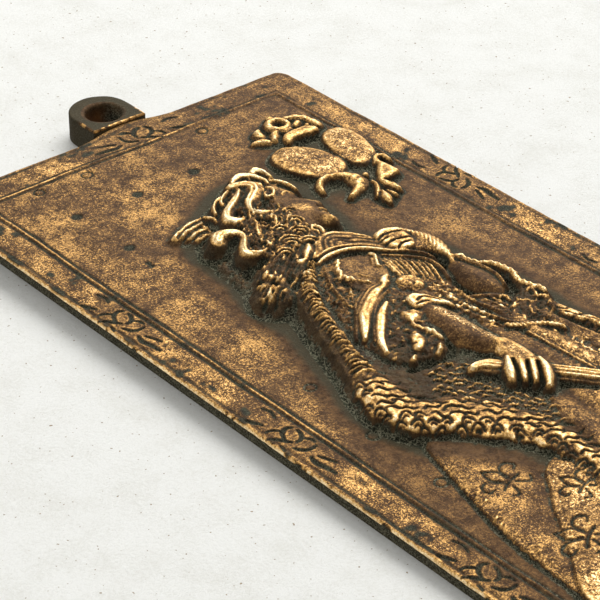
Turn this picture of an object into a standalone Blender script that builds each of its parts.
"""A cast bronze wall plaque: a tall plate with a robed figure and a small crowned crest in relief,
and a loop on its top edge to hang it by.

The plaque is one casting and so one object, relief_plaque. All sizes are in millimetres and turn into metres
when the mesh is made. The design is drawn on the plate: x runs right from the plate's centre line, z runs up
from its top edge, and a height is measured out from the plate's front face. The object's origin is the centre
of the hanging hole, +Z runs up the plaque and -Y out of its front.
"""

import math

import bpy
import numpy as np

MM = 0.001

# Plate
PLATE_WIDTH = 100.0
PLATE_HEIGHT = 235.0
PLATE_THICKNESS = 2.65
CORNER_RADIUS = 3.5
BORDER = 8.75  # plate edge to the middle of the double border line
BORDER_GROOVE_WIDTH = 1.6
BORDER_GROOVE_DEPTH = 0.35
SHOULDER_RISE = 2.6  # how far the top edge swells up around the loop
SHOULDER_HALF_WIDTH = 14.0
SHOULDER_REACH = 6.5

# Hanging loop
LOOP_X = 3.6
LOOP_HALF_WIDTH = 7.4
LOOP_FOOT_Z = 2.2
LOOP_ARC_Z = 9.9
LOOP_FRONT = 0.7  # height of the loop's front face above the plate's
LOOP_THICKNESS = 7.0
LOOP_ROOT_Z = -6.0  # the lug behind the plate runs down to here
LOOP_ROOT_FRONT = -1.0
ROOT_OVERLAP = 0.5  # how far the lug and the loop run into each other
TOOL_EXCESS = 2.0  # how far the hole's tool sticks out of each side
HOLE_RADIUS = 4.3
HOLE_Z = 8.6

# Mesh
GRID_STEP = 0.8
FRONT_TRIANGLES = 8200
WALL_SLOPE = 2.4  # steepness of the cast sides, as rise over run
RIDGE_SLOPE = 1.8
GENTLE_SLOPE = 1.3
RIDGE_DROP = 1.0  # how far a ridge's back falls to its flanks
RIDGE_FLANK = 1.4  # where its flanks start, in half widths from its middle
OVAL_ROUNDING = 0.6  # how far an oval's face falls to its rim
MARGIN = 4.0  # how far beyond its edge a form can reach
SPLINE_STEPS = 6
LOOP_SEGMENTS = 16
HOLE_SEGMENTS = 32

MIDDLE_HEIGHT = LOOP_FRONT - LOOP_THICKNESS / 2  # height of the origin over the plate's front face

# The ground strip that the figure stands on
GROUND_TOP_Z = -211.0
GROUND_BOTTOM_Z = -222.0
GROUND_HALF_WIDTH = 38.0
GROUND_HEIGHT = 2.2

# Folds of the gown, which fan out from the waist to the hem
GOWN_FOLDS = 7
GOWN_FOLD_DEPTH = 0.45
WAIST_Z = -106.0
HEM_Z = -212.0
GOWN_CENTRE_AT_WAIST = 6.0
GOWN_CENTRE_AT_HEM = 4.0
GOWN_HALF_WIDTH_AT_WAIST = 9.0
GOWN_HALF_WIDTH_AT_HEM = 24.0

# Outlines, as (x, z) corners of a smooth closed curve.
MANTLE_LEFT = [
    (-28.5, -137.5), (-29.6, -139.5), (-30.5, -143), (-31.7, -148), (-33, -153), (-34.3, -158.5),
    (-35.3, -163), (-36.3, -168.5), (-37, -175), (-37.6, -182), (-38.5, -195), (-38.5, -213),
    (-22, -214), (-12, -200), (-8, -175), (-8, -152), (-18, -139), (-24, -135),
]
MANTLE_FOLD = [
    (-17.5, -158), (-21, -162.5), (-24.4, -166.8), (-27, -171), (-30, -175.5), (-33, -180), (-36, -184),
    (-38.6, -190), (-38.8, -200), (-38.5, -213), (-20, -214), (-10, -195), (-8, -172), (-9, -160),
    (-12, -156),
]
MANTLE_INSIDE = [
    (-11, -80), (-5, -79), (-3, -95), (-6, -112), (1, -124), (4, -136), (0, -148), (-6, -160),
    (-12, -160), (-14, -146), (-22, -132), (-22.5, -118), (-21.5, -107), (-18, -95), (-14, -85),
]
MANTLE_RIGHT = [
    (12, -104), (19, -98), (23.5, -106), (24.5, -120), (27, -140), (31, -165), (34.5, -190), (36, -213),
    (20, -214), (12, -170), (8, -130),
]
GOWN = [
    (-4, -112), (6, -106), (16, -112), (20, -126), (22, -150), (24, -180), (26, -212), (0, -214),
    (-19, -212), (-14, -185), (-9, -160), (-3, -145), (1, -134), (0, -124),
]
TORSO = [
    (-9, -80), (-4, -78), (3, -79), (8, -83), (12, -88), (13.2, -95), (11.6, -102), (9, -110), (2, -121),
    (-8, -120), (-15, -116), (-18, -107), (-14, -94), (-11, -85),
]
FUR_BAND = [
    (-19.6, -102), (-23.2, -104.5), (-24.9, -110), (-27.2, -115), (-29.7, -120), (-30.9, -125),
    (-30.4, -130), (-29.3, -133.5), (-26.5, -136.5), (-22.7, -140), (-19.2, -144), (-16, -148),
    (-13.9, -152), (-12.8, -156), (-12.8, -162), (-15, -172), (-18.5, -185), (-22, -200), (-25, -212),
    (-17.5, -212), (-14.5, -200), (-11, -186), (-8, -172), (-5.6, -160), (-5.6, -155), (-6.4, -150),
    (-7.6, -145), (-9.2, -140.5), (-11.2, -136.5), (-14.6, -133.5), (-16, -130.5), (-19.6, -129),
    (-21, -125.5), (-20.6, -119), (-20.4, -112), (-19.6, -106),
]
RIGHT_FUR = [
    (20.8, -119), (23, -118), (26, -128), (29, -146), (32, -168), (34.5, -190), (35.5, -211),
    (28.5, -211), (27.5, -192), (25.8, -172), (23.6, -152), (21.6, -136),
]
SHOULDER_CAPE = [
    (-5.2, -77.2), (-2.6, -75), (-0.4, -72.4), (2, -71.2), (4.6, -71.4), (6.8, -73.4), (8.8, -76.2),
    (9.8, -79), (9.8, -82), (10.2, -85.6), (8.4, -83.4), (5.6, -80.2), (2.4, -78.2), (-1, -77.4),
]
RIGHT_SHOULDER = [
    (9, -79.8), (10.6, -78), (14, -77.6), (16.4, -79.4), (18.3, -83.5), (19.5, -87.5), (19.2, -91),
    (18, -94.5), (16.2, -96.4), (15.8, -92), (13, -88), (9.4, -86.4),
]
RIGHT_FOREARM = [
    (14, -97.6), (16.6, -95.6), (18.2, -97), (19.3, -101), (19.8, -105), (18.9, -109), (16.8, -111.2),
    (14.2, -110.6), (12.6, -107.4), (12.4, -103), (13, -99.6),
]
SLEEVE = [
    (-3, -97.5), (-9, -99.5), (-14, -104), (-17.5, -110), (-17, -116), (-13, -118.6), (-7, -118.6),
    (-3.5, -115), (-1, -108), (0.5, -102),
]
LEFT_FOREARM = [
    (-3, -106), (0.6, -105.2), (3, -108), (3.4, -113), (3.6, -119), (4.2, -124), (4.8, -129), (1, -130),
    (-1.8, -125.4), (-3.9, -120), (-4.3, -115), (-4, -110),
]
HAND = [
    (0.2, -124), (3.7, -124.6), (4.5, -128), (4.4, -132), (3.4, -135.6), (1.2, -138.4), (-1.2, -139.4),
    (-3.8, -137), (-4, -134.4), (-2, -130.4),
]
CUFF_LOBE = [
    (-6.8, -107), (-5.6, -104.8), (-4, -105.3), (-2.2, -107), (-3, -108.6), (-5, -109.5), (-6.5, -109),
]
CUFF_PUFF = [
    (-8.3, -111.8), (-8.1, -114.4), (-9.8, -116.4), (-12, -117.2), (-12.4, -116), (-11, -113.8),
    (-9.8, -112.2),
]
LACE_MASS = [
    (11.5, -110), (15, -111.5), (18.6, -112), (21, -107), (20.6, -99), (22.6, -101), (23.6, -106),
    (22.8, -109.6), (23.8, -114), (23.8, -117.2), (22.3, -120), (20.2, -122.6), (16, -123.6),
    (12.3, -120.6), (11, -115),
]
HAIR_MASS = [
    (1, -42), (4, -40.8), (8, -40.6), (10.2, -42.6), (11, -47), (9, -52), (6.4, -55), (5.4, -61),
    (4.4, -68), (0.6, -72.6), (-5, -77), (-9, -81), (-13, -83.6), (-17.6, -85), (-20.8, -84),
    (-22, -81), (-20, -77.4), (-17, -73.4), (-15, -70), (-14.4, -64), (-14, -59), (-11.8, -56),
    (-10.2, -53), (-9, -50), (-5.6, -46.4), (-2, -43.6),
]
FACE = [
    (6, -46.5), (9.6, -47), (10.9, -50.5), (10.7, -53.6), (11.6, -56.5), (12.9, -59), (11.6, -60.4),
    (11.8, -62), (11.2, -63.4), (11.5, -65.6), (9.8, -67.4), (6, -66), (4, -70), (5, -74), (0, -74),
    (0, -60), (2, -50),
]
CROWN_BAND = [
    (26.5, -29.6), (28, -28.1), (31, -27.6), (34.4, -28), (35.8, -30), (35, -31.4), (31, -30.8),
    (28, -31), (26.4, -32),
]
SCROLL_BODY = [
    (36.2, -49.9), (35.4, -51.8), (33.8, -53.4), (32.4, -55), (31.5, -57.2), (33, -58), (35, -57.7),
    (36.8, -57.3), (36.9, -55.4), (36.6, -52.6),
]

# Ridges, as (x, z, half width, top height) along the ridge.
FUR_CREST = [
    (-6.6, -78.5, 0.8, 4.6), (-9.0, -80.3, 1.4, 4.5), (-12.0, -83.2, 1.6, 4.3), (-14.2, -87, 1.2, 4.1),
    (-15.9, -91, 1.1, 4.0), (-17.5, -95, 1.1, 3.9), (-19.1, -100, 1.1, 3.8), (-20.8, -105, 1.3, 3.7),
    (-22.3, -110, 1.7, 3.6), (-23.6, -115, 2.4, 3.4),
]
FUR_SLOPE = [
    (-14, -86, 0.8, 3.4), (-17.2, -94, 0.9, 3.2), (-20, -102, 1.0, 3.0), (-23, -110, 1.2, 2.8),
    (-26.4, -117, 1.2, 2.4), (-28.6, -123, 1.0, 2.0), (-28.8, -130, 1.0, 1.6),
]
HAIR_FOOT = [
    (-13, -56, 1.2, 2.0), (-16.6, -62, 1.6, 2.2), (-17.4, -69, 1.8, 2.2), (-19.6, -75, 1.8, 1.6),
    (-21.6, -80, 1.4, 1.2),
]
SASH = [
    [(-1.6, -95, 0.6, 4.9), (-4, -95.7, 0.95, 5.2), (-6.5, -97.2, 1.0, 5.3), (-9, -98.9, 1.1, 5.3),
     (-11.5, -100.8, 1.15, 5.3), (-13.5, -103, 0.95, 5.2), (-15.3, -105.1, 0.75, 5.0),
     (-16.9, -106.9, 0.45, 4.7)],
    [(-5.3, -100.2, 0.45, 4.9), (-8, -102, 0.8, 5.2), (-10.5, -104.3, 0.9, 5.3), (-13, -107, 0.9, 5.2),
     (-15.3, -110, 0.75, 5.0), (-16.9, -113.2, 0.4, 4.7)],
]
CUFF_HOOK = [
    (-1.5, -106, 0.5, 5.2), (-1.8, -104.2, 0.8, 5.4), (-0.9, -102.9, 0.9, 5.6),
    (0.7, -102.5, 0.95, 5.7), (2.2, -103.2, 0.8, 5.6), (3.2, -104.9, 0.65, 5.4), (3.8, -107, 0.45, 5.2),
    (3.8, -110, 0.35, 5.0),
]
CUFF_FRILLS = [
    [(-6.6, -109.2, 0.45, 5.0), (-6.6, -111, 0.6, 5.2), (-6, -112.7, 0.7, 5.3),
     (-5.5, -114.6, 0.75, 5.2), (-5.3, -116.4, 0.5, 4.9)],
    [(-7, -117.9, 0.4, 4.7), (-8, -118.9, 0.55, 4.8), (-9.2, -119.6, 0.4, 4.6)],
    [(-13.4, -117.7, 0.35, 4.5), (-14.6, -118.3, 0.5, 4.6)],
]
BREAST_FOLDS = [
    [(-2, -81.5, 0.6, 4.9), (-3.5, -83, 0.85, 5.1), (-4.8, -85, 0.7, 5.1), (-5.4, -87, 0.8, 5.2),
     (-5, -89, 0.85, 5.2), (-3.8, -91, 0.6, 5.1), (-2.5, -92.7, 0.4, 4.9)],
    [(-2.6, -88.4, 0.25, 4.8), (-1.9, -90, 0.35, 4.9), (-0.9, -91.6, 0.25, 4.8)],
    [(4.6, -83.8, 0.5, 4.9), (4.7, -85.2, 0.8, 5.1), (3.6, -86.6, 0.8, 5.1), (2.8, -88.2, 0.6, 5.0),
     (3.2, -89.2, 0.3, 4.8)],
    [(-8, -92.5, 0.35, 4.6), (-7.2, -91, 0.45, 4.7)],
]
NECKLINE = [
    [(-4.5, -77.5, 0.3, 4.7), (-1, -77.1, 0.42, 5.0), (2, -77.7, 0.42, 5.0), (4.5, -79.1, 0.4, 5.0),
     (6.5, -80.9, 0.38, 5.0), (8, -82.9, 0.35, 4.9), (9.4, -85.1, 0.3, 4.8)],
    [(-5.6, -79.4, 0.35, 4.7), (-3, -78.9, 0.52, 5.1), (0, -78.9, 0.6, 5.1), (2.5, -79.6, 0.6, 5.1),
     (5, -81.1, 0.55, 5.1), (7, -83.4, 0.5, 5.1), (9, -85.7, 0.42, 5.0), (11, -87.1, 0.36, 4.9),
     (12.5, -88.3, 0.3, 4.7)],
]
FINGERS = [
    [(0.8, -125.6, 0.6, 5.7), (-0.6, -128.6, 0.8, 5.9), (-1.9, -131.1, 0.95, 5.9),
     (-3.4, -133.6, 0.9, 5.8), (-4.4, -135, 0.6, 5.4)],
    [(1.3, -131.6, 0.45, 5.7), (-0.1, -133.6, 0.5, 5.7), (-1.7, -135.6, 0.5, 5.6),
     (-2.5, -136.8, 0.35, 5.3)],
    [(2.9, -132.6, 0.45, 5.7), (1.7, -134.6, 0.5, 5.7), (-0.1, -136.6, 0.5, 5.6),
     (-1.6, -138.1, 0.35, 5.3)],
    [(4.3, -129, 0.5, 5.7), (4.4, -132.1, 0.7, 5.8), (3.7, -135.1, 0.85, 5.8), (2.3, -137.6, 0.9, 5.7),
     (0.6, -139.6, 0.7, 5.5), (-0.7, -141.1, 0.45, 5.1)],
]
BATON = [
    (-4.6, -129.4, 1.8, 4.9), (0, -134.6, 1.8, 4.8), (4.6, -139.7, 1.8, 4.8), (9.6, -145.9, 1.8, 4.7),
    (16, -153.6, 1.8, 4.4),
]
CROWN_ARCHES = [
    [(33.4, -21.6, 0.6, 1.5), (35.5, -22.6, 0.9, 1.7), (37, -24.6, 0.9, 1.7), (37.2, -26.6, 0.8, 1.6)],
    [(37.4, -27, 0.9, 1.6), (37.6, -28, 0.9, 1.6)],
    [(33, -25.8, 0.6, 1.7), (34.4, -25, 0.7, 1.7)],
    [(25.2, -21.8, 0.5, 1.2), (24, -23.2, 0.9, 1.5), (23.8, -24.8, 0.9, 1.5)],
    [(20.6, -26, 0.5, 1.1), (22.2, -26.4, 0.8, 1.4), (23.6, -27.6, 0.6, 1.4)],
    [(27.3, -25.5, 0.6, 1.7), (26.3, -26.6, 0.8, 1.8), (25.2, -27.9, 0.6, 1.6)],
    [(29.4, -26.6, 0.6, 1.6), (31, -26.4, 0.6, 1.6)],
]
SCROLLS = [
    [(18.2, -53, 0.45, 1.5), (18.8, -51.3, 0.55, 1.7), (20.2, -49.8, 0.6, 1.9),
     (22.4, -49.1, 0.62, 1.9), (24.6, -49.7, 0.66, 1.9), (26.2, -51.1, 0.85, 2.0),
     (27.1, -53, 1.15, 2.0), (26.9, -55, 1.25, 1.9), (25.7, -56.6, 0.9, 1.8), (23.8, -57.6, 0.6, 1.7),
     (21.6, -58.5, 0.4, 1.5)],
    [(35.9, -51, 0.6, 1.9), (36.4, -49.7, 0.55, 1.9), (37.6, -49.1, 0.5, 1.9), (38.8, -49.8, 0.5, 1.8),
     (39, -51.8, 0.4, 1.6)],
    [(31.7, -57, 0.6, 1.8), (31, -58.6, 0.6, 1.8), (31.5, -60.4, 0.85, 1.8), (32.1, -62.8, 0.4, 1.5)],
]
CREST_LEAVES = [
    [(29.4, -56.5, 0.3, 1.5), (29.2, -58.2, 0.4, 1.7), (28, -60.2, 0.5, 1.7), (26, -62.2, 0.3, 1.4)],
    [(28.2, -61.4, 0.4, 1.6), (27.6, -63, 0.75, 1.8), (27, -64.6, 0.75, 1.8), (26.6, -66, 0.35, 1.4)],
    [(29.4, -61.6, 0.3, 1.3), (29.8, -64, 0.5, 1.4)],
]
LOCKS = [
    [(0.4, -42.7, 0.6, 4.8), (2.4, -43.8, 0.9, 5.1), (3.7, -45.2, 1.05, 5.2), (3.7, -46.8, 1.1, 5.3),
     (2.5, -48.6, 1.05, 5.3), (0.5, -50, 0.95, 5.2), (-1.2, -51.2, 0.7, 5.1), (-2.2, -52.6, 0.5, 5.0),
     (-2.8, -54.1, 0.45, 5.0), (-2.3, -55.4, 0.5, 5.0), (-0.8, -56.6, 0.6, 4.9),
     (0.8, -57.7, 0.45, 4.7)],
    [(0.7, -45.2, 0.4, 4.8), (-1, -47, 0.5, 5.0), (-3, -48.4, 0.6, 5.0), (-5, -49.6, 0.62, 5.0),
     (-6.8, -50.9, 0.65, 5.0), (-8.3, -52.6, 0.75, 5.0), (-8.7, -54.1, 0.9, 5.0),
     (-7.6, -55.3, 0.75, 4.9), (-6.4, -55.9, 0.45, 4.7)],
    [(-1, -43.6, 0.3, 4.5), (-3, -44.7, 0.4, 4.6), (-5, -46.2, 0.4, 4.6), (-5.9, -48.2, 0.3, 4.5)],
    [(-3.6, -44.4, 0.3, 4.3), (-6.2, -45.7, 0.35, 4.4), (-8.1, -47.6, 0.35, 4.4),
     (-8.8, -49.4, 0.3, 4.2)],
    [(1.6, -42, 0.55, 4.8), (3, -41.1, 0.85, 5.1), (4.5, -40.9, 0.85, 5.2), (5.6, -41.7, 0.7, 5.2),
     (6.7, -42.9, 0.6, 5.1), (7.3, -44.4, 0.55, 5.0), (7.6, -46, 0.45, 4.9), (7.3, -47.5, 0.3, 4.7)],
    [(7.6, -41.4, 0.8, 5.1), (8.6, -41.2, 1.0, 5.3), (9.5, -42.2, 0.7, 5.1), (10, -43.6, 0.4, 4.8),
     (10.1, -45, 0.3, 4.5)],
    [(5.5, -48.4, 0.4, 4.9), (6.4, -49.4, 0.5, 5.0), (5.9, -50.9, 0.55, 5.0), (4.6, -51.8, 0.55, 5.0),
     (3.6, -51.5, 0.5, 5.0), (3.9, -50.4, 0.35, 4.9), (4.9, -49.8, 0.3, 4.8)],
    [(4.2, -45.4, 0.4, 4.8), (5.3, -46.2, 0.5, 5.0), (5.4, -47.3, 0.5, 4.9), (4.6, -48, 0.35, 4.7)],
    [(-4.9, -58.3, 0.35, 4.6), (-6.2, -60, 0.42, 4.8), (-7.5, -61.9, 0.42, 4.8),
     (-8.2, -63.4, 0.3, 4.6)],
    [(-5.2, -60, 0.25, 4.5), (-6.5, -61.6, 0.3, 4.6), (-7.6, -63, 0.35, 4.6), (-8, -64.4, 0.25, 4.4)],
    [(-0.3, -57.8, 0.3, 4.6), (-0.6, -59.2, 0.45, 4.8), (-1.6, -60.8, 0.42, 4.8),
     (-2.9, -62.3, 0.3, 4.5)],
    [(-15.6, -58.6, 1.2, 4.6), (-14.2, -57.6, 1.5, 5.0), (-12.6, -58, 1.1, 5.2),
     (-11, -59.3, 0.65, 5.1), (-10.7, -61, 0.5, 5.0), (-12, -63, 0.55, 5.0), (-13.7, -65, 0.75, 5.1),
     (-14.5, -66.9, 0.95, 5.1), (-13.2, -68.1, 0.65, 5.0), (-11.4, -68.6, 0.45, 4.8),
     (-9.8, -68, 0.3, 4.6)],
]

# Ovals of the crest, as (x, z, half length, half width, lean of the top to the right in degrees, height).
SHIELDS = [(24.3, -40.9, 8.9, 6.0, -19.0, 1.9), (36.3, -40.9, 8.9, 4.7, 14.0, 1.9)]
CROWN_RING = (30, -23.3, 3.2, 1.9)  # x, z, radius, top height

BRONZE_COLOUR = (0.23, 0.13, 0.06, 1.0)
BRONZE_ROUGHNESS = 0.45


def smooth_path(rows, closed=False):
    """Points of a Catmull-Rom curve through the given rows of numbers."""
    rows = np.asarray(rows, float)
    if closed:
        rows = np.vstack([rows[-1], rows, rows[:2]])
    else:
        rows = np.vstack([2 * rows[0] - rows[1], rows, 2 * rows[-1] - rows[-2]])
    pieces = []
    for before, start, end, after in zip(rows, rows[1:], rows[2:], rows[3:]):
        for t in np.arange(SPLINE_STEPS) / SPLINE_STEPS:
            bend = (2 * before - 5 * start + 4 * end - after) * t * t
            twist = (3 * start - before - 3 * end + after) * t ** 3
            pieces.append(0.5 * (2 * start + (end - before) * t + bend + twist))
    pieces.append(rows[-2])
    return np.array(pieces)


def nearest(x, z, path):
    """Distance of each grid point to a path, and the path's further columns at the nearest spot."""
    distance = np.full(x.shape, np.inf)
    values = np.zeros(x.shape + (path.shape[1] - 2,))
    for start, end in zip(path, path[1:]):
        run = end[:2] - start[:2]
        t = ((x - start[0]) * run[0] + (z - start[1]) * run[1]) / max(run @ run, 1e-9)
        t = np.clip(t, 0, 1)
        gap = np.hypot(x - start[0] - t * run[0], z - start[1] - t * run[1])
        closer = gap < distance
        distance[closer] = gap[closer]
        values[closer] = start[2:] + t[closer, None] * (end[2:] - start[2:])
    return distance, values


def inside(x, z, path):
    """True where a grid point lies within a closed path."""
    within = np.zeros(x.shape, bool)
    for start, end in zip(path, path[1:]):
        if start[1] == end[1]:
            continue
        spans = (start[1] > z) != (end[1] > z)
        crossing = start[0] + (z - start[1]) * (end[0] - start[0]) / (end[1] - start[1])
        within ^= spans & (x < crossing)
    return within


class Relief:
    """Height of the plaque's front over the plate, on a grid of columns (x) and rows (z)."""

    def __init__(self, columns, rows):
        self.columns = columns
        self.rows = rows
        self.x, self.z = np.meshgrid(columns, rows)
        self.height = np.zeros(self.x.shape)

    def window(self, path, margin):
        """The part of the grid around a path."""
        low = path[:, :2].min(axis=0) - margin
        high = path[:, :2].max(axis=0) + margin
        across = slice(*np.searchsorted(self.columns, (low[0], high[0])))
        up = slice(*np.searchsorted(self.rows, (low[1], high[1])))
        return up, across

    def raise_to(self, window, surface):
        self.height[window] = np.maximum(self.height[window], surface)

    def ridge(self, rows, drop=RIDGE_DROP, slope=RIDGE_SLOPE):
        """A soft ridge along a path of (x, z, half width, top height), bell-shaped in section."""
        path = smooth_path(rows)
        window = self.window(path, path[:, 2].max() + MARGIN)
        distance, values = nearest(self.x[window], self.z[window], path)
        half_width, top = values[..., 0], values[..., 1]
        fall = drop * (1 - np.exp(-((distance / half_width) ** 2)))
        self.raise_to(window, top - fall - slope * np.maximum(distance - RIDGE_FLANK * half_width, 0))

    def form(self, outline, middle, edge, shoulder, texture=None, slope=WALL_SLOPE):
        """A raised form that swells from its edge height to its middle height over the shoulder."""
        path = smooth_path(outline, closed=True)
        window = self.window(path, MARGIN)
        x, z = self.x[window], self.z[window]
        distance, _ = nearest(x, z, path)
        depth = np.where(inside(x, z, path), distance, -distance)
        swell = 1 - (1 - np.clip(depth / shoulder, 0, 1)) ** 2
        surface = edge + (middle - edge) * swell
        if texture is not None:
            surface = surface + texture(x, z) * swell
        self.raise_to(window, surface + slope * np.minimum(depth, 0))

    def oval(self, x, z, half_length, half_width, lean, top):
        """A flat-topped oval whose top leans to the right by lean degrees."""
        turn = math.radians(lean)
        dx, dz = self.x - x, self.z - z
        across = dx * math.cos(turn) - dz * math.sin(turn)
        along = dx * math.sin(turn) + dz * math.cos(turn)
        size = np.hypot(across / half_width, along / half_length)
        fall = OVAL_ROUNDING * np.minimum(size, 1) ** 6
        wall = WALL_SLOPE * np.maximum(size - 1, 0) * half_width
        self.height = np.maximum(self.height, top - fall - wall)


def gown_folds(x, z):
    """Vertical folds that fan out from the waist to the hem."""
    down = np.clip((z - WAIST_Z) / (HEM_Z - WAIST_Z), 0, 1)
    centre = GOWN_CENTRE_AT_WAIST + (GOWN_CENTRE_AT_HEM - GOWN_CENTRE_AT_WAIST) * down
    half_width = GOWN_HALF_WIDTH_AT_WAIST + (GOWN_HALF_WIDTH_AT_HEM - GOWN_HALF_WIDTH_AT_WAIST) * down
    return GOWN_FOLD_DEPTH * np.cos((x - centre) / half_width * math.pi * GOWN_FOLDS / 2)


def carve_border(relief):
    """The double line that frames the plate, as one shallow channel."""
    from_side = PLATE_WIDTH / 2 - np.abs(relief.x)
    from_end = np.minimum(-relief.z, relief.z + PLATE_HEIGHT)
    from_edge = np.minimum(from_side, from_end)
    channel = np.clip(1 - np.abs(from_edge - BORDER) / BORDER_GROOVE_WIDTH, 0, 1)
    relief.height -= BORDER_GROOVE_DEPTH * channel


def raise_ground(relief):
    """The strip of ground under the figure."""
    beyond_side = np.abs(relief.x) - GROUND_HALF_WIDTH
    beyond_end = np.maximum(relief.z - GROUND_TOP_Z, GROUND_BOTTOM_Z - relief.z)
    beyond = np.maximum(np.maximum(beyond_side, beyond_end), 0)
    relief.height = np.maximum(relief.height, GROUND_HEIGHT - WALL_SLOPE * beyond)


def raise_dress(relief):
    """The mantle, gown and torso, from the back forwards."""
    relief.form(MANTLE_LEFT, middle=1.1, edge=0.75, shoulder=3)
    relief.form(MANTLE_RIGHT, middle=2.0, edge=1.4, shoulder=4, texture=gown_folds)
    relief.form(MANTLE_FOLD, middle=2.1, edge=1.5, shoulder=5)
    relief.ridge(FUR_SLOPE, drop=0.3, slope=1.0)
    relief.form(MANTLE_INSIDE, middle=2.9, edge=2.6, shoulder=3)
    relief.form(GOWN, middle=3.4, edge=2.6, shoulder=4, texture=gown_folds)
    relief.form(TORSO, middle=4.1, edge=3.2, shoulder=5)
    relief.form(LACE_MASS, middle=3.3, edge=2.4, shoulder=3)
    for fold in BREAST_FOLDS:
        relief.ridge(fold, drop=0.8)
    relief.form(FUR_BAND, middle=3.6, edge=2.3, shoulder=3.4)
    relief.form(RIGHT_FUR, middle=2.9, edge=2.0, shoulder=3)
    relief.ridge(FUR_CREST, drop=0.9, slope=GENTLE_SLOPE)
    relief.form(SHOULDER_CAPE, middle=4.8, edge=4.2, shoulder=1.6)
    for line in NECKLINE:
        relief.ridge(line, drop=0.5)
    relief.form(RIGHT_SHOULDER, middle=4.8, edge=3.8, shoulder=3)


def raise_arms(relief):
    """The sleeves, arms, hand and baton."""
    relief.form(SLEEVE, middle=4.4, edge=3.6, shoulder=3)
    for roll in SASH:
        relief.ridge(roll, drop=0.9)
    for lobe in (CUFF_LOBE, CUFF_PUFF):
        relief.form(lobe, middle=5.3, edge=4.7, shoulder=1.4)
    for frill in CUFF_FRILLS:
        relief.ridge(frill, drop=0.8)
    relief.form(RIGHT_FOREARM, middle=5.2, edge=3.4, shoulder=4)
    relief.form(LEFT_FOREARM, middle=5.7, edge=3.8, shoulder=3.6)
    relief.ridge(CUFF_HOOK, drop=0.9)
    relief.ridge(BATON, drop=0.9)
    relief.form(HAND, middle=5.4, edge=4.4, shoulder=2.4)
    for finger in FINGERS:
        relief.ridge(finger, drop=0.8)


def raise_head(relief):
    """The face and the long curled hair."""
    relief.ridge(HAIR_FOOT, drop=0.5, slope=0.9)
    relief.form(HAIR_MASS, middle=4.2, edge=2.9, shoulder=4, slope=GENTLE_SLOPE)
    relief.form(FACE, middle=4.3, edge=2.6, shoulder=4.5)
    for lock in LOCKS:
        relief.ridge(lock, drop=0.9)


def raise_crest(relief):
    """The crown over two shields and their scrolls."""
    x, z, radius, top = CROWN_RING
    relief.oval(x, z, radius, radius, 0, top)
    for arch in CROWN_ARCHES:
        relief.ridge(arch, drop=0.9)
    relief.form(CROWN_BAND, middle=2.0, edge=1.6, shoulder=1)
    for shield in SHIELDS:
        relief.oval(*shield)
    relief.form(SCROLL_BODY, middle=2.0, edge=1.6, shoulder=1)
    for scroll in SCROLLS:
        relief.ridge(scroll, drop=0.8)
    for leaf in CREST_LEAVES:
        relief.ridge(leaf, drop=0.7)


def outline_inset(z):
    """How far the plate's side comes in at a height z, because of the rounded corners."""
    from_end = np.minimum(-z, z + PLATE_HEIGHT)
    into_corner = np.clip(CORNER_RADIUS - from_end, 0, CORNER_RADIUS)
    return CORNER_RADIUS - np.sqrt(CORNER_RADIUS ** 2 - into_corner ** 2)


def plate_points(relief):
    """The grid fitted to the plate's outline: rounded corners, and a top edge that swells at the loop."""
    half = PLATE_WIDTH / 2
    x = relief.x * (half - outline_inset(relief.z)) / half
    across = np.clip(np.abs(relief.x - LOOP_X) / SHOULDER_HALF_WIDTH, 0, 1)
    swell = SHOULDER_RISE * (1 - across ** 2) ** 2
    near_top = np.clip(1 + relief.z / SHOULDER_REACH, 0, 1) ** 2
    return x, relief.z + swell * near_top


def to_space(x, z, height):
    """Design coordinates in millimetres to the object's own frame in metres."""
    return np.stack([x - LOOP_X, MIDDLE_HEIGHT - height, z - HOLE_Z], axis=-1) * MM


def build_plate(relief):
    """One closed mesh: the relief in front, straight sides and a flat back."""
    rows, columns = relief.height.shape
    x, z = plate_points(relief)
    front = to_space(x, z, relief.height).reshape(-1, 3)
    index = np.arange(rows * columns).reshape(rows, columns)
    rim = np.concatenate([index[0], index[1:, -1], index[-1, -2::-1], index[-2:0:-1, 0]])
    back = front[rim].copy()
    back[:, 1] = (MIDDLE_HEIGHT + PLATE_THICKNESS) * MM
    back_index = len(front) + np.arange(len(rim))
    faces = [
        (a, b, c, d)
        for a, b, c, d in zip(
            index[:-1, :-1].ravel(), index[:-1, 1:].ravel(), index[1:, 1:].ravel(), index[1:, :-1].ravel()
        )
    ]
    for here in range(len(rim)):
        after = (here + 1) % len(rim)
        faces.append((rim[after], rim[here], back_index[here], back_index[after]))
    faces.append(tuple(back_index[::-1]))
    mesh = bpy.data.meshes.new("relief_plaque")
    mesh.from_pydata(np.vstack([front, back]).tolist(), [], [tuple(map(int, face)) for face in faces])
    return mesh


def prism(name, outline, front, thickness):
    """A closed solid: an (x, z) outline, anticlockwise from the front, run back from a front height."""
    count = len(outline)
    x, z = np.array(outline).T
    near = to_space(x, z, np.full(count, front))
    far = to_space(x, z, np.full(count, front - thickness))
    points = np.vstack([near, far])
    faces = [tuple(range(count)), tuple(range(2 * count - 1, count - 1, -1))]
    for here in range(count):
        after = (here + 1) % count
        faces.append((after, here, here + count, after + count))
    mesh = bpy.data.meshes.new(name)
    mesh.from_pydata(points.tolist(), [], faces)
    helper = bpy.data.objects.new(name, mesh)
    bpy.context.collection.objects.link(helper)
    helper.hide_render = True
    helper.display_type = "WIRE"
    return helper


def circle_points(x, z, radius, angles):
    return [(x + radius * math.cos(angle), z + radius * math.sin(angle)) for angle in angles]


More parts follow.
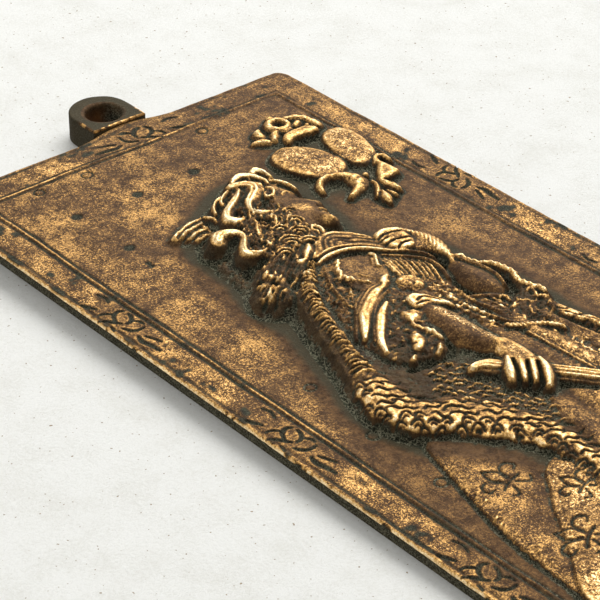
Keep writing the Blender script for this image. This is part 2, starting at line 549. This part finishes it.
def loop_outline():
    """The loop's D shape, from its foot up one side, over the top and down the other."""
    right = LOOP_X + LOOP_HALF_WIDTH
    left = LOOP_X - LOOP_HALF_WIDTH
    angles = np.linspace(0, math.pi, LOOP_SEGMENTS + 1)
    arc = circle_points(LOOP_X, LOOP_ARC_Z, LOOP_HALF_WIDTH, angles)
    return [(right, LOOP_FOOT_Z)] + arc + [(left, LOOP_FOOT_Z)]


def root_outline():
    """The lug behind the plate that the loop grows out of."""
    right = LOOP_X + LOOP_HALF_WIDTH
    left = LOOP_X - LOOP_HALF_WIDTH
    top = LOOP_FOOT_Z + ROOT_OVERLAP
    return [(right, LOOP_ROOT_Z), (right, top), (left, top), (left, LOOP_ROOT_Z)]


def hole_outline():
    angles = np.arange(HOLE_SEGMENTS) * 2 * math.pi / HOLE_SEGMENTS
    return circle_points(LOOP_X, HOLE_Z, HOLE_RADIUS, angles)


def add_boolean(target, tool, operation):
    modifier = target.modifiers.new(tool.name, "BOOLEAN")
    modifier.operation = operation
    modifier.object = tool
    modifier.solver = "EXACT"


def bronze():
    material = bpy.data.materials.new("bronze")
    material.use_nodes = True
    shader = material.node_tree.nodes["Principled BSDF"]
    shader.inputs["Base Color"].default_value = BRONZE_COLOUR
    shader.inputs["Metallic"].default_value = 1.0
    shader.inputs["Roughness"].default_value = BRONZE_ROUGHNESS
    return material


def sculpt():
    """The whole front relief, from the border inwards and from the back forwards."""
    columns = np.linspace(-PLATE_WIDTH / 2, PLATE_WIDTH / 2, round(PLATE_WIDTH / GRID_STEP) + 1)
    rows = np.linspace(-PLATE_HEIGHT, 0, round(PLATE_HEIGHT / GRID_STEP) + 1)
    relief = Relief(columns, rows)
    carve_border(relief)
    raise_ground(relief)
    raise_dress(relief)
    raise_head(relief)
    raise_arms(relief)
    raise_crest(relief)
    return relief


def build_plaque():
    """The plate with its relief, joined to the loop and the lug behind it, with the hole cut through."""
    mesh = build_plate(sculpt())
    plaque = bpy.data.objects.new("relief_plaque", mesh)
    bpy.context.collection.objects.link(plaque)
    mesh.materials.append(bronze())
    lighten = plaque.modifiers.new("lighten", "DECIMATE")
    lighten.ratio = FRONT_TRIANGLES / (2 * len(mesh.polygons))  # each of its squares is two triangles
    add_boolean(plaque, prism("loop", loop_outline(), LOOP_FRONT, LOOP_THICKNESS), "UNION")
    root_depth = LOOP_THICKNESS - LOOP_FRONT + LOOP_ROOT_FRONT
    add_boolean(plaque, prism("loop_root", root_outline(), LOOP_ROOT_FRONT, root_depth), "UNION")
    hole_depth = LOOP_THICKNESS + 2 * TOOL_EXCESS
    add_boolean(plaque, prism("loop_hole", hole_outline(), LOOP_FRONT + TOOL_EXCESS, hole_depth), "DIFFERENCE")
    return plaque


def main():
    for old in list(bpy.data.objects):
        bpy.data.objects.remove(old)
    build_plaque()


main()
